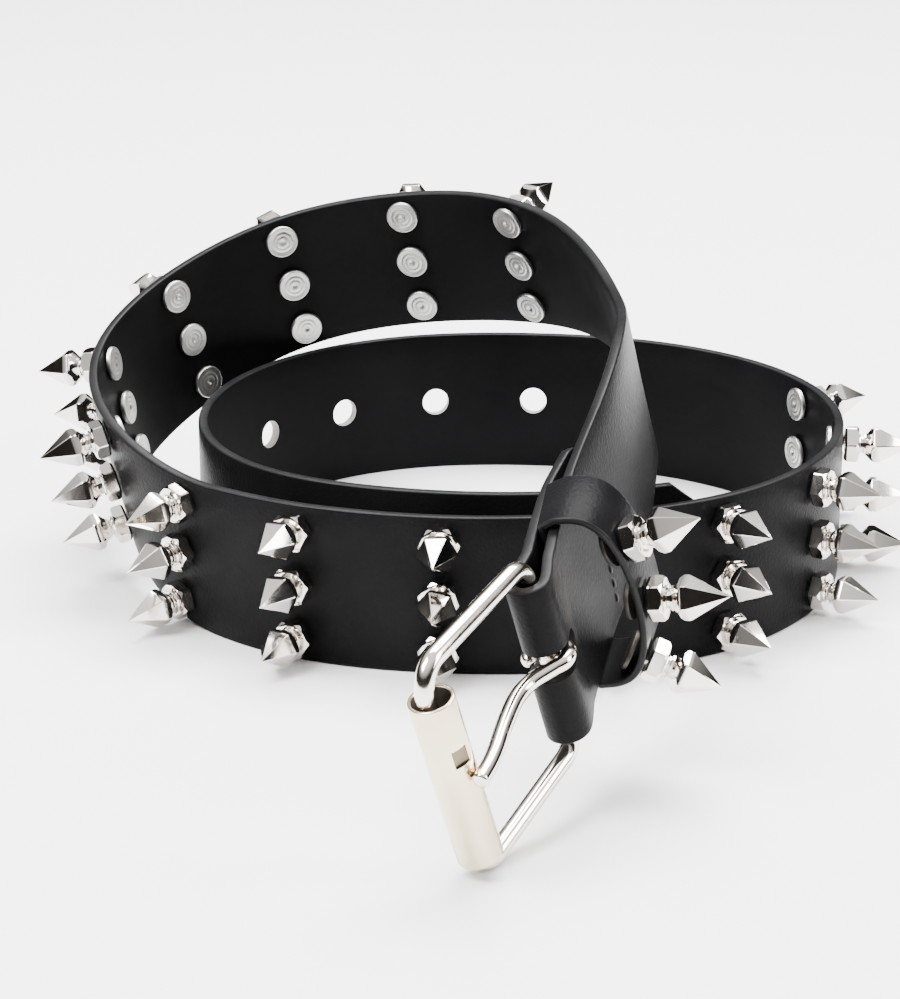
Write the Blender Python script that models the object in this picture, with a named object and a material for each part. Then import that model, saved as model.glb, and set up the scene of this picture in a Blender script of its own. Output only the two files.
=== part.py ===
"""A studded leather belt with a roller buckle, lying coiled with its strap standing on edge.

The strap is drawn flat, with its slot, holes and chamfered tip, and is then bent along the coil.
Metres, +Z up. The origin is under the middle of the whole belt, on the surface that it lies on.
"""
from math import acos, atan2, cos, pi, radians, sin, sqrt, tan

import bmesh
import bpy
import numpy as np
from mathutils import Matrix, Vector

# Strap
STRAP_WIDTH = 0.040
STRAP_THICKNESS = 0.0025
COIL_RADIUS = 0.088
TIP_CHAMFER_LENGTH = 0.014
TIP_CHAMFER_WIDTH = 0.011
TAIL_LENGTH = 0.043
TAIL_CORNER = 0.005
FOLD_REACH = 0.0105
SECTIONS_PER_COLUMN = 4
FOLD_SECTION_LENGTH = 0.0022
WELD_DISTANCE = 0.00001
TAIL_GAP = 0.0005
FIT_GAP = 0.0004

# Punched holes, counted back from the tip
TIP_TO_FIRST_HOLE = 0.0995
HOLE_PITCH = 0.0289
HOLE_DIAMETER = 0.0078
HOLE_COUNT = 8
HOLE_SIDES = 12

# Studs: columns across the strap at an even pitch, and one column on the keeper
FIRST_COLUMN = 0.2060
COLUMN_PITCH = 0.0356
COLUMN_COUNT = 14
ROW_PITCH = 0.0138
ROW_COUNT = 3
NUT_ACROSS_CORNERS = 0.0102
NUT_HEIGHT = 0.0038
NECK_DIAMETER = 0.0046
NECK_HEIGHT = 0.0020
HEAD_ACROSS_CORNERS = 0.0100
HEAD_BAND_HEIGHT = 0.0020
HEAD_UNDERSIDE_HEIGHT = 0.0012
POINT_HEIGHT = 0.0086
SHANK_DIAMETER = 0.0034
BACK_DIAMETER = 0.0090
BACK_THICKNESS = 0.0011
BACK_SIDES = 12
BACK_GAP = 0.0007

# Buckle
WIRE_DIAMETER = 0.0042
ARM_LENGTH = 0.0400
BUCKLE_SWING = -17.5
ARM_SIDE_GAP = 0.0020
ARM_FLARE = 0.0020
BAR_CORNER_RADIUS = 0.0048
ROLLER_CORNER_RADIUS = 0.0064
WIRE_SIDES = 10
ROLLER_DIAMETER = 0.0098
ROLLER_WALL = 0.0009
ROLLER_LENGTH = 0.0410
ROLLER_SLIDE = 0.0016
ROLLER_SIDES = 20
PRONG_DIAMETER = 0.0036
PRONG_SIDES = 8
SLOT_WIDTH = 0.0070
SLOT_LENGTH = 0.026

# Keeper
KEEPER_POSITION = 0.0150
KEEPER_WIDTH = 0.0165
KEEPER_THICKNESS = 0.0016
KEEPER_CORNER = 0.0014
KEEPER_BULGE = 0.0134
KEEPER_SIDE_GAP = 0.0012
KEEPER_ROUNDING = 0.62
KEEPER_STEPS = 12
KEEPER_ROW_PITCH = 0.0150
KEEPER_ROW_DROP = 0.0030
KEEPER_ROW_SHIFT = 0.0030
KEEPER_STUD_ROOM = 0.0009

# The strap's way from the buckle to the tip, with these columns in each row:
# x and y as shares of COIL_RADIUS, the height of the lower edge as a share of STRAP_WIDTH,
# the lean of the strap's width away from the coil in degrees, and how far its face is bowed across.
STATIONS = (
    (0.29, -1.19, 0.50, -10, 0),
    (0.368, -0.902, 0.72, -12, 18),
    (0.455, -0.581, 0.94, -13, 14),
    (0.50, -0.30, 1.10, -12, 4),
    (0.52, 0.10, 1.08, -14, 0),
    (0.48, 0.52, 1.18, -20, 0),
    (0.38, 0.84, 1.29, -26, 0),
    (0.20, 1.03, 1.28, -20, 0),
    (-0.07, 1.19, 1.19, -13, 0),
    (-0.46, 1.21, 1.02, -7, 0),
    (-0.79, 1.03, 0.75, 2, 0),
    (-1.00, 0.69, 0.46, 9, 0),
    (-0.96, 0.28, 0.25, 13, 0),
    (-0.73, -0.06, 0.02, 5, 0),
    (-0.41, -0.29, 0.00, 0, 0),
    (0.00, -0.39, 0.00, 0, 0),
    (0.43, -0.36, 0.00, -2, 0),
    (0.82, -0.18, 0.00, -3, 0),
    (1.08, 0.16, 0.00, -1, 0),
    (1.16, 0.58, 0.00, 0, 0),
    (1.03, 0.98, 0.00, 0, 0),
    (0.72, 1.26, 0.00, 0, 0),
    (0.28, 1.38, 0.00, 0, 0),
    (-0.16, 1.34, 0.00, 0, 0),
    (-0.52, 1.10, 0.00, 0, 0),
    (-0.71, 0.74, 0.00, 0, 0),
    (-0.72, 0.36, 0.00, 0, 0),
    (-0.54, 0.03, 0.00, 0, 0),
    (-0.20, -0.15, 0.00, 0, 0),
    (0.20, -0.20, 0.00, 0, 0),
    (0.55, -0.14, 0.00, 0, 0),
    (0.76, -0.06, 0.00, 0, 0),
)

# The prong's bends between its eye and its tip, with these columns in each row: the share of the way
# from the bar's axis to the roller's, and the share of the height at which the tip rests on the roller.
PRONG_BENDS = (
    (0.28, -0.06),
    (0.58, 0.33),
    (0.84, 0.84),
    (1.04, 1.00),
)


def natural_spline(knots, values, at):
    """The smooth curve through values at knots, read at other places."""
    count = len(knots)
    step = np.diff(knots)
    matrix = np.eye(count)
    right = np.zeros((count, values.shape[1]))
    for i in range(1, count - 1):
        matrix[i, i - 1:i + 2] = step[i - 1], 2 * (step[i - 1] + step[i]), step[i]
        slope_after = (values[i + 1] - values[i]) / step[i]
        slope_before = (values[i] - values[i - 1]) / step[i - 1]
        right[i] = 6 * (slope_after - slope_before)
    bend = np.linalg.solve(matrix, right)
    i = np.clip(np.searchsorted(knots, at, side="right") - 1, 0, count - 2)
    length = step[i][:, None]
    past = (at - knots[i])[:, None]
    left = length - past
    curved = (bend[i] * left ** 3 + bend[i + 1] * past ** 3) / (6 * length)
    straight_start = (values[i] / length - bend[i] * length / 6) * left
    straight_end = (values[i + 1] / length - bend[i + 1] * length / 6) * past
    return curved + straight_start + straight_end


class Course:
    """The strap's middle line, with the directions along it, up its width and out of its face."""

    SAMPLES = 2400

    def __init__(self, start_rise):
        table = np.array(STATIONS, float)
        table[0, 2] = start_rise
        lean = np.radians(table[:, 3])
        height = table[:, 2] * STRAP_WIDTH + 0.5 * STRAP_WIDTH * np.cos(lean)
        plan = table[:, :2] * COIL_RADIUS
        values = np.column_stack([plan, height, lean, np.radians(table[:, 4])])
        knots = self.distance(values[:, :3])
        fine = natural_spline(knots, values, np.linspace(0, knots[-1], self.SAMPLES))
        fine[:, 2] = np.maximum(fine[:, 2], STRAP_WIDTH / 2 * np.cos(fine[:, 3]))
        self.point = fine[:, :3]
        self.s = self.distance(self.point)
        self.length = self.s[-1]
        self.bow = np.maximum(fine[:, 4], 0)
        self.along = self.unit(np.gradient(self.point, self.s, axis=0))
        flat_out = self.unit(np.column_stack([self.along[:, 1], -self.along[:, 0], 0 * self.s]))
        up = np.cos(fine[:, 3])[:, None] * np.array([0.0, 0.0, 1.0]) + np.sin(fine[:, 3])[:, None] * flat_out
        up = up - (up * self.along).sum(1)[:, None] * self.along
        self.up = self.unit(up)
        self.out = np.cross(self.along, self.up)

    @staticmethod
    def distance(points):
        return np.concatenate([[0], np.cumsum(np.linalg.norm(np.diff(points, axis=0), axis=1))])

    @staticmethod
    def unit(vectors):
        return vectors / np.linalg.norm(vectors, axis=1)[:, None]

    def read(self, s):
        """Point, along, up, out and bow at the distance s from the fold."""
        pick = [np.interp(s, self.s, column) for column in self.point.T]
        rows = [Vector(pick)]
        for name in ("along", "up", "out"):
            rows.append(Vector([np.interp(s, self.s, column) for column in getattr(self, name).T]).normalized())
        return (*rows, float(np.interp(s, self.s, self.bow)))

    def face(self, s, across):
        """The point of the middle surface at s and across, and the direction out of it."""
        point, _, up, out, bow = self.read(s)
        if bow < 0.01:
            return point + up * across, out
        radius = STRAP_WIDTH / bow
        turn = across / radius
        place = point + up * radius * sin(turn) - out * radius * (1 - cos(turn))
        return place, out * cos(turn) + up * sin(turn)


SECTION_LENGTH = COLUMN_PITCH / SECTIONS_PER_COLUMN
WRAP_RADIUS = WIRE_DIAMETER / 2 + FIT_GAP + STRAP_THICKNESS / 2
LAYER_STEP = STRAP_THICKNESS + KEEPER_THICKNESS + 2 * FIT_GAP
ROLLER_OFFSET = ROLLER_DIAMETER / 2 - ROLLER_WALL - WIRE_DIAMETER / 2 - FIT_GAP


class Bar:
    """The buckle's bar in the strap's fold: its centre, its axes and the way to the roller."""

    def __init__(self, course):
        self.start, self.along, self.up, self.out, _ = course.read(0.0)
        self.centre = self.start - self.along * FOLD_REACH - self.out * LAYER_STEP / 2
        swing = radians(BUCKLE_SWING)
        self.toward = -self.along * cos(swing) + self.out * sin(swing)

    def foot_height(self):
        """The height of the buckle's lowest point, on its wire or on its roller."""
        wire = np.array([p.to_2d() for p in frame_outline()])
        tangent = Course.unit(np.roll(wire, -1, axis=0) - np.roll(wire, 1, axis=0))
        fall = np.array([self.toward.z, self.up.z])
        wire_low = (wire @ fall - WIRE_DIAMETER / 2 * np.sqrt(1 - (tangent @ fall) ** 2)).min()
        tube = np.array([ARM_LENGTH - ROLLER_OFFSET, -ROLLER_LENGTH / 2 - ROLLER_SLIDE])
        tube_low = tube @ fall - ROLLER_DIAMETER / 2 * sqrt(1 - self.up.z ** 2)
        return self.centre.z + min(wire_low, tube_low)


def frame_outline(steps=4):
    """The wire's middle line: a rectangle with rounded corners, x from the bar to the roller, y up it."""
    half = STRAP_WIDTH / 2 + ARM_SIDE_GAP + WIRE_DIAMETER / 2
    lean = atan2(ARM_FLARE, ARM_LENGTH)
    points = []
    for number in range(4):
        far = number in (0, 3)
        radius = ROLLER_CORNER_RADIUS if far else BAR_CORNER_RADIUS
        inset = radius * tan(pi / 4 + (lean if far else -lean) / 2)
        x = ARM_LENGTH - radius if far else radius
        y = half + (ARM_FLARE if far else 0) - inset
        for k in range(steps + 1):
            first, last = ((0, pi / 2 + lean), (pi / 2 + lean, pi))[not far]
            share = k / steps if number in (0, 1) else 1 - k / steps
            w = first + (last - first) * share
            side = 1 if number in (0, 1) else -1
            points.append(Vector((x + radius * cos(w), side * (y + radius * sin(w)), 0)))
    return points


def settled_course():
    """The course whose start is just high enough for the buckle to stand on the floor."""
    low, high = 0.0, 2.0
    for _ in range(24):
        middle = (low + high) / 2
        if Bar(Course(middle)).foot_height() > 0:
            high = middle
        else:
            low = middle
    return Course(high)


COURSE = settled_course()
BAR = Bar(COURSE)
COLUMNS = [FIRST_COLUMN + i * COLUMN_PITCH for i in range(COLUMN_COUNT)]
ROWS = [(i - (ROW_COUNT - 1) / 2) * ROW_PITCH for i in range(ROW_COUNT)]
HOLES = [COURSE.length - TIP_TO_FIRST_HOLE - i * HOLE_PITCH for i in range(HOLE_COUNT)]


def fold_line():
    """The fold seen along the bar: from the crease of the outer layer round to the inner one's.

    Each point is (toward the bar, outward), measured from the start of the outer layer.
    """
    middle = -LAYER_STEP / 2
    lead = radians(62)
    touch = np.array([FOLD_REACH + WRAP_RADIUS * cos(lead + pi / 8), middle + WRAP_RADIUS * sin(lead + pi / 8)])
    aim = np.array([sin(lead + pi / 8), -cos(lead + pi / 8)])
    pull = FOLD_REACH * 0.8
    outer = []
    for t in np.linspace(0, 1, 6)[:-1]:
        a = 2 * t ** 3 - 3 * t ** 2 + 1
        b = t ** 3 - 2 * t ** 2 + t
        c = -2 * t ** 3 + 3 * t ** 2
        d = t ** 3 - t ** 2
        outer.append(b * pull * np.array([1.0, 0.0]) + c * touch + d * pull * aim + a * np.zeros(2))
    half = lead + pi / 8
    turn = [np.array([FOLD_REACH + WRAP_RADIUS * cos(w), middle + WRAP_RADIUS * sin(w)])
            for w in np.linspace(half, -half, 13)]
    inner = [np.array([p[0], 2 * middle - p[1]]) for p in reversed(outer)]
    return np.array(outer + turn + inner)


FOLD = fold_line()
FOLD_S = Course.distance(FOLD)
FOLD_LENGTH = FOLD_S[-1]


def layer_step(s):
    """How far inside the outer layer the tail lies; past the keeper it closes up on that layer."""
    keeper_end = KEEPER_POSITION + KEEPER_WIDTH / 2
    share = min(max((s - keeper_end) / (TAIL_LENGTH - keeper_end), 0), 1)
    return LAYER_STEP - (LAYER_STEP - STRAP_THICKNESS - TAIL_GAP) * share ** 2 * (3 - 2 * share)


def bend(flat, across, depth):
    """Take a point of the flat strap to its place on the coil.

    flat runs from 0 at the outer layer's crease to the tip, and is negative in the fold and the tail.
    """
    if flat >= 0:
        place, out = COURSE.face(flat, across)
        return place + out * depth
    if flat <= -FOLD_LENGTH:
        s = -FOLD_LENGTH - flat
        place, out = COURSE.face(s, across)
        return place - out * (layer_step(s) + depth)
    s = -flat
    tangent = np.array([np.interp(s, FOLD_S, column) for column in np.gradient(FOLD, FOLD_S, axis=0).T])
    tangent = tangent / np.linalg.norm(tangent)
    point = [np.interp(s, FOLD_S, column) for column in FOLD.T]
    toward = point[0] - tangent[1] * depth
    outward = point[1] + tangent[0] * depth
    return BAR.start - BAR.along * toward + BAR.out * outward + BAR.up * across


def material(name, colour, roughness, metallic):
    made = bpy.data.materials.new(name)
    made.use_nodes = True
    shader = made.node_tree.nodes["Principled BSDF"]
    shader.inputs["Base Color"].default_value = (*colour, 1)
    shader.inputs["Roughness"].default_value = roughness
    shader.inputs["Metallic"].default_value = metallic
    return made


def add_object(name, bm, finish, frame=Matrix.Identity(4), parent=None):
    """Link a mesh, built in world places, as an object whose origin is the given frame."""
    bm.transform(frame.inverted())
    mesh = bpy.data.meshes.new(name)
    bm.to_mesh(mesh)
    bm.free()
    mesh.shade_smooth()
    mesh.set_sharp_from_angle(angle=radians(35))
    mesh.materials.append(finish)
    made = bpy.data.objects.new(name, mesh)
    bpy.context.collection.objects.link(made)
    made.parent = parent
    made.matrix_basis = frame if parent is None else parent_frame(parent).inverted() @ frame
    return made


def parent_frame(parent):
    return parent.matrix_basis if parent.parent is None else parent_frame(parent.parent) @ parent.matrix_basis


def loft(bm, rings, closed=False):
    """Join rings of points into one skin. A ring has as many points as the one before, or half, or one."""
    loops = [[bm.verts.new(p) for p in ring] for ring in rings]
    pairs = list(zip(loops, loops[1:]))
    if closed:
        pairs.append((loops[-1], loops[0]))
    for a, b in pairs:
        if len(a) == len(b):
            for i in range(len(a)):
                j = (i + 1) % len(a)
                bm.faces.new((a[i], a[j], b[j], b[i]))
        elif len(b) == 1:
            for i in range(len(a)):
                bm.faces.new((a[i], a[(i + 1) % len(a)], b[0]))
        else:
            for i in range(len(b)):
                after = (2 * i + 2) % len(a)
                bm.faces.new((a[2 * i], a[2 * i + 1], b[i]))
                bm.faces.new((a[2 * i + 1], a[after], b[(i + 1) % len(b)], b[i]))
    if not closed:
        for loop in (loops[0], loops[-1]):
            if len(loop) > 2:
                bm.faces.new(loop)
    bmesh.ops.recalc_face_normals(bm, faces=bm.faces)


def flat_outline(bm):
    """The strap cut out flat: a rectangle with a chamfered tip and a tail with rounded corners."""
    half = STRAP_WIDTH / 2
    end = COURSE.length
    start = -FOLD_LENGTH - TAIL_LENGTH
    points = [(end - TIP_CHAMFER_LENGTH, half), (end, half - TIP_CHAMFER_WIDTH)]
    points += [(end, -half + TIP_CHAMFER_WIDTH), (end - TIP_CHAMFER_LENGTH, -half)]
    corner = TAIL_CORNER
    for side, first in ((-1, 270), (1, 180)):
        for k in range(4):
            w = radians(first - 30 * k)
            points.append((start + corner + corner * cos(w), side * (half - corner) + corner * sin(w)))
    return bm.faces.new([bm.verts.new((x, y, 0)) for x, y in points])


def section_cuts():
    """Where the flat strap is divided, so that it bends: evenly, finer in the fold."""
    first = (FIRST_COLUMN - SECTION_LENGTH / 2) % SECTION_LENGTH
    cuts = list(np.arange(first, COURSE.length - SECTION_LENGTH / 3, SECTION_LENGTH))
    fold_count = max(2, round(FOLD_LENGTH / FOLD_SECTION_LENGTH))
    cuts += list(np.linspace(-FOLD_LENGTH, 0, fold_count + 1))
    cuts += [-FOLD_LENGTH - c for c in np.arange(first, TAIL_LENGTH - SECTION_LENGTH / 3, SECTION_LENGTH)]
    return sorted(cuts)


def cut_lines(bm):
    """Divide the flat strap across its sections, and along it where its face is bowed."""
    def bisect(place, direction, faces):
        edges = {e for f in faces for e in f.edges}
        verts = {v for f in faces for v in f.verts}
        bmesh.ops.bisect_plane(bm, geom=[*faces, *edges, *verts], plane_co=place, plane_no=direction, dist=1e-7)

    for cut in section_cuts():
        bisect((cut, 0, 0), (1, 0, 0), bm.faces[:])
    bowed = [s for s, b in zip(COURSE.s, COURSE.bow) if b > 0.02]
    reach = bowed[-1] + SECTION_LENGTH
    for share in (-1 / 3, -0.1, 0.1, 1 / 3):
        near = [f for f in bm.faces if -FOLD_LENGTH - reach < f.calc_center_median().x < reach]
        bisect((0, share * STRAP_WIDTH, 0), (0, 1, 0), near)


def polygon(x, y, radius, sides, turn=0.0):
    return [(x + radius * cos(turn + 2 * pi * i / sides), y + radius * sin(turn + 2 * pi * i / sides))
            for i in range(sides)]


def prism_cutter(bm, outline):
    """A straight cutter through the flat strap."""
    rings = [[Vector((x, y, z)) for x, y in outline] for z in (-STRAP_THICKNESS, STRAP_THICKNESS)]
    loft(bm, rings)


def slot_outline():
    """The prong's slot: two half circles joined by straight sides, in the middle of the fold."""
    x = -FOLD_LENGTH / 2
    reach = SLOT_LENGTH / 2 - SLOT_WIDTH / 2
    points = []
    for side, first in ((1, -90), (-1, 90)):
        for k in range(5):
            w = radians(first + 45 * k)
            points.append((x + side * reach + SLOT_WIDTH / 2 * cos(w), SLOT_WIDTH / 2 * sin(w)))
    return points


def strap_cutters():
    bm = bmesh.new()
    for x in HOLES:
        prism_cutter(bm, polygon(x, 0, HOLE_DIAMETER / 2, HOLE_SIDES))
    for x in COLUMNS:
        for y in ROWS:
            prism_cutter(bm, polygon(x, y, SHANK_DIAMETER / 2 + FIT_GAP, 6))
    prism_cutter(bm, slot_outline())
    return bm


def subtract(bm, cutter):
    """The first mesh with the second one cut out of it."""
    pair = []
    for name, shape in (("whole", bm), ("cutter", cutter)):
        mesh = bpy.data.meshes.new(name)
        shape.to_mesh(mesh)
        shape.free()
        pair.append(bpy.data.objects.new(name, mesh))
        bpy.context.collection.objects.link(pair[-1])
    boolean = pair[0].modifiers.new("holes", "BOOLEAN")
    boolean.operation = "DIFFERENCE"
    boolean.object = pair[1]
    boolean.solver = "EXACT"
    bpy.context.view_layer.update()
    evaluated = pair[0].evaluated_get(bpy.context.evaluated_depsgraph_get())
    cut = bmesh.new()
    cut.from_mesh(evaluated.to_mesh())
    evaluated.to_mesh_clear()
    bmesh.ops.remove_doubles(cut, verts=cut.verts, dist=WELD_DISTANCE)
    for made in pair:
        bpy.data.objects.remove(made)
    return cut


def cut_flat_strap():
    """The flat strap as a thick plate with every hole cut through it."""
    bm = bmesh.new()
    flat_outline(bm)
    cut_lines(bm)
    solid = bmesh.ops.extrude_face_region(bm, geom=bm.faces[:])
    raised = [v for v in solid["geom"] if isinstance(v, bmesh.types.BMVert)]
    bmesh.ops.translate(bm, vec=(0, 0, STRAP_THICKNESS), verts=raised)
    bmesh.ops.translate(bm, vec=(0, 0, -STRAP_THICKNESS / 2), verts=bm.verts)
    bmesh.ops.recalc_face_normals(bm, faces=bm.faces)
    return subtract(bm, strap_cutters())


def make_strap(finish, parent):
    bm = cut_flat_strap()
    bmesh.ops.triangulate(bm, faces=bm.faces, quad_method="SHORT_EDGE", ngon_method="BEAUTY")
    for vert in bm.verts:
        vert.co = bend(vert.co.x, vert.co.y, vert.co.z)
    return add_object("strap", bm, finish, parent=parent)


def stud_profile(wall):
    """The stud's outline up its axis as (height over the leather's face, radius, sides)."""
    nut_top = FIT_GAP + NUT_HEIGHT
    neck_top = nut_top + NECK_HEIGHT
    band_foot = neck_top + HEAD_UNDERSIDE_HEIGHT
    band_top = band_foot + HEAD_BAND_HEIGHT
    back_face = -wall - BACK_GAP
    return (
        (back_face - BACK_THICKNESS, BACK_DIAMETER / 2, BACK_SIDES),
        (back_face, BACK_DIAMETER / 2, BACK_SIDES),
        (back_face, SHANK_DIAMETER / 2, 6),
        (FIT_GAP, SHANK_DIAMETER / 2, 6),
        (FIT_GAP, NUT_ACROSS_CORNERS / 2, 6),
        (nut_top, NUT_ACROSS_CORNERS / 2, 6),
        (nut_top, NECK_DIAMETER / 2, 6),
        (neck_top, NECK_DIAMETER / 2, 6),
        (band_foot, HEAD_ACROSS_CORNERS / 2, 6),
        (band_top, HEAD_ACROSS_CORNERS / 2, 6),
        (band_top + POINT_HEIGHT, 0, 1),
    )


def stud_frame(foot, along, out):
    """Axes for a stud: x along the strap, z out of the leather, with its origin on the leather's face."""
    along = (along - out * along.dot(out)).normalized()
    frame = Matrix((along, out.cross(along), out)).transposed().to_4x4()
    frame.translation = foot
    return frame


def make_stud(name, frame, wall, finish, parent):
    rings = []
    for height, radius, sides in stud_profile(wall):
        flat = polygon(0, 0, radius, sides) if sides > 1 else [(0, 0)]
        rings.append([frame @ Vector((x, y, height)) for x, y in flat])
    bm = bmesh.new()
    loft(bm, rings)
    return add_object(name, bm, finish, frame, parent)


def make_strap_studs(finish, parent):
    for i, s in enumerate(COLUMNS):
        along = COURSE.read(s)[1]
        for k, across in enumerate(ROWS):
            middle, out = COURSE.face(s, across)
            frame = stud_frame(middle + out * STRAP_THICKNESS / 2, along, out)
            make_stud(f"stud_{i + 1:02d}_{k + 1}", frame, STRAP_THICKNESS, finish, parent)


def keeper_bulge(turn):
    """A point of the keeper's bulge as (across, outward), with the direction out of it."""
    half = STRAP_WIDTH / 2 + KEEPER_SIDE_GAP + KEEPER_THICKNESS / 2
    place = Vector((half * cos(turn), KEEPER_BULGE * sin(turn) ** KEEPER_ROUNDING))
    slope = KEEPER_BULGE * KEEPER_ROUNDING * cos(turn) * max(sin(turn), 0.01) ** (KEEPER_ROUNDING - 1)
    return place, Vector((slope, half * sin(turn))).normalized()


def keeper_line(bow):
    """The keeper's middle line round the strap's outer layer, as (across, outward) from its middle."""
    back = -LAYER_STEP / 2
    radius = STRAP_WIDTH / max(bow, 0.01)
    points = [keeper_bulge(pi * k / KEEPER_STEPS)[0] for k in range(KEEPER_STEPS + 1)]
    half = points[0].x - KEEPER_CORNER
    for k in range(KEEPER_STEPS + 1):
        across = -half + 2 * half * k / KEEPER_STEPS
        points.append(Vector((across, back - radius + sqrt(radius ** 2 - across ** 2))))
    return points


def keeper_edge(end):
    """The keeper's outer and inner corners along one of its edges, end being -1 or 1."""
    point, _, up, out, bow = COURSE.read(KEEPER_POSITION + end * KEEPER_WIDTH / 2)
    line = keeper_line(bow)
    corners = []
    for i, middle in enumerate(line):
        before = (middle - line[i - 1]).normalized()
        after = (line[(i + 1) % len(line)] - middle).normalized()
        mitre = (before + after) / (1 + before.dot(after)) * KEEPER_THICKNESS / 2
        pair = (middle + Vector((mitre.y, -mitre.x)), middle - Vector((mitre.y, -mitre.x)))
        corners.append([point + up * place.x + out * place.y for place in pair])
    return corners


def keeper_stud_frames():
    """Axes for the keeper's studs, which stand square to its bulge."""
    point, along, up, out, _ = COURSE.read(KEEPER_POSITION - KEEPER_ROW_SHIFT)
    frames = []
    for row in range(ROW_COUNT):
        across = (row - (ROW_COUNT - 1) / 2) * KEEPER_ROW_PITCH - KEEPER_ROW_DROP
        place, normal = keeper_bulge(acos(across / keeper_bulge(0)[0].x))
        normal = up * normal.x + out * normal.y
        middle = point + up * place.x + out * place.y
        frames.append(stud_frame(middle + normal * KEEPER_THICKNESS / 2, along, normal))
    return frames


def make_keeper(finish, parent):
    rings = []
    for (outer_a, inner_a), (outer_b, inner_b) in zip(keeper_edge(-1), keeper_edge(1)):
        rings.append([outer_a, outer_b, inner_b, inner_a])
    bm = bmesh.new()
    loft(bm, rings, closed=True)
    cutter = bmesh.new()
    for frame in keeper_stud_frames():
        outline = polygon(0, 0, SHANK_DIAMETER / 2 + FIT_GAP, 6)
        ends = (-2 * KEEPER_THICKNESS, KEEPER_THICKNESS)
        loft(cutter, [[frame @ Vector((x, y, z)) for x, y in outline] for z in ends])
    return add_object("keeper", subtract(bm, cutter), finish, parent=parent)


def buckle_matrix():
    """Axes for the buckle: x from the bar to the roller, y down the bar, z out of the frame's face."""
    matrix = Matrix((BAR.toward, -BAR.up, BAR.up.cross(BAR.toward))).transposed().to_4x4()
    matrix.translation = BAR.centre
    return matrix


def tube_rings(points, radius, sides, plane_normal):
    """Rings round a wire bent in one plane, square to it at each point."""
    rings = []
    count = len(points)
    for i, p in enumerate(points):
        before = points[max(i - 1, 0)]
        after = points[min(i + 1, count - 1)]
        tangent = (after - before).normalized()
        side = tangent.cross(plane_normal).normalized()
        rings.append([p + (side * cos(2 * pi * k / sides) + plane_normal * sin(2 * pi * k / sides)) * radius
                      for k in range(sides)])
    return rings


def make_frame(finish, matrix, parent):
    points = frame_outline()
    rings = []
    count = len(points)
    up = Vector((0, 0, 1))
    for i, p in enumerate(points):
        tangent = (points[(i + 1) % count] - points[i - 1]).normalized()
        side = tangent.cross(up)
        rings.append([p + (side * cos(2 * pi * k / WIRE_SIDES) + up * sin(2 * pi * k / WIRE_SIDES))
                      * WIRE_DIAMETER / 2 for k in range(WIRE_SIDES)])
    bm = bmesh.new()
    loft(bm, rings, closed=True)
    bm.transform(matrix)
    return add_object("buckle_frame", bm, finish, matrix, parent)


def make_roller(finish, matrix, parent):
    half = ROLLER_LENGTH / 2
    outer = ROLLER_DIAMETER / 2
    inner = outer - ROLLER_WALL
    centre = Matrix.Translation(Vector((ARM_LENGTH - ROLLER_OFFSET, ROLLER_SLIDE, 0)))
    rings = []
    for radius, y in ((outer, -half), (outer, half), (inner, half), (inner, -half)):
        rings.append([Vector((x, y, z)) for x, z in polygon(0, 0, radius, ROLLER_SIDES)])
    bm = bmesh.new()
    loft(bm, rings, closed=True)
    placed = matrix @ centre
    bm.transform(placed)
    return add_object("roller", bm, finish, placed, parent)


def prong_line():
    """The prong's middle line, seen along the bar: an eye round it, then the bends to the roller."""
    eye = WIRE_DIAMETER / 2 + FIT_GAP + PRONG_DIAMETER / 2
    reach = ARM_LENGTH - ROLLER_OFFSET
    clear = ROLLER_DIAMETER / 2 + FIT_GAP + PRONG_DIAMETER / 2
    points = [Vector((eye * cos(radians(w)), 0, eye * sin(radians(w)))) for w in range(-40, -311, -30)]
    points += [Vector((reach * share, 0, clear * height)) for share, height in PRONG_BENDS]
    return points


def make_prong(finish, matrix, parent):
    points = prong_line()
    bm = bmesh.new()
    loft(bm, tube_rings(points, PRONG_DIAMETER / 2, PRONG_SIDES, Vector((0, 1, 0))))
    bm.transform(matrix)
    return add_object("prong", bm, finish, matrix, parent)


def centre_on_floor(root):
    """Move the whole belt so that the origin is under the middle of its outline."""
    bpy.context.view_layer.update()
    corners = []
    for made in bpy.data.objects:
        if made.type == "MESH":
            corners += [made.matrix_world @ v.co for v in made.data.vertices]
    low = [min(c[i] for c in corners) for i in range(3)]
    high = [max(c[i] for c in corners) for i in range(3)]
    root.location = (-(low[0] + high[0]) / 2, -(low[1] + high[1]) / 2, -low[2])


def main():
    for old in list(bpy.data.objects):
        bpy.data.objects.remove(old)
    leather = material("black_leather", (0.012, 0.012, 0.013), 0.38, 0.0)
    steel = material("nickel_studs", (0.78, 0.76, 0.74), 0.16, 1.0)
    nickel = material("nickel_buckle", (0.83, 0.78, 0.70), 0.2, 1.0)
    root = bpy.data.objects.new("studded_belt", None)
    bpy.context.collection.objects.link(root)

    make_strap(leather, root)
    make_keeper(leather, root)
    make_strap_studs(steel, root)
    for k, frame in enumerate(keeper_stud_frames()):
        make_stud(f"keeper_stud_{k + 1}", frame, KEEPER_THICKNESS + KEEPER_STUD_ROOM, steel, root)
    matrix = buckle_matrix()
    frame = make_frame(nickel, matrix, root)
    make_roller(nickel, matrix, frame)
    make_prong(nickel, matrix, frame)
    centre_on_floor(root)


main()
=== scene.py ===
from math import atan2, cos, hypot, pi, radians, sin, sqrt, tan

import bmesh
import bpy
import numpy as np
from mathutils import Matrix, Vector, noise


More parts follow.
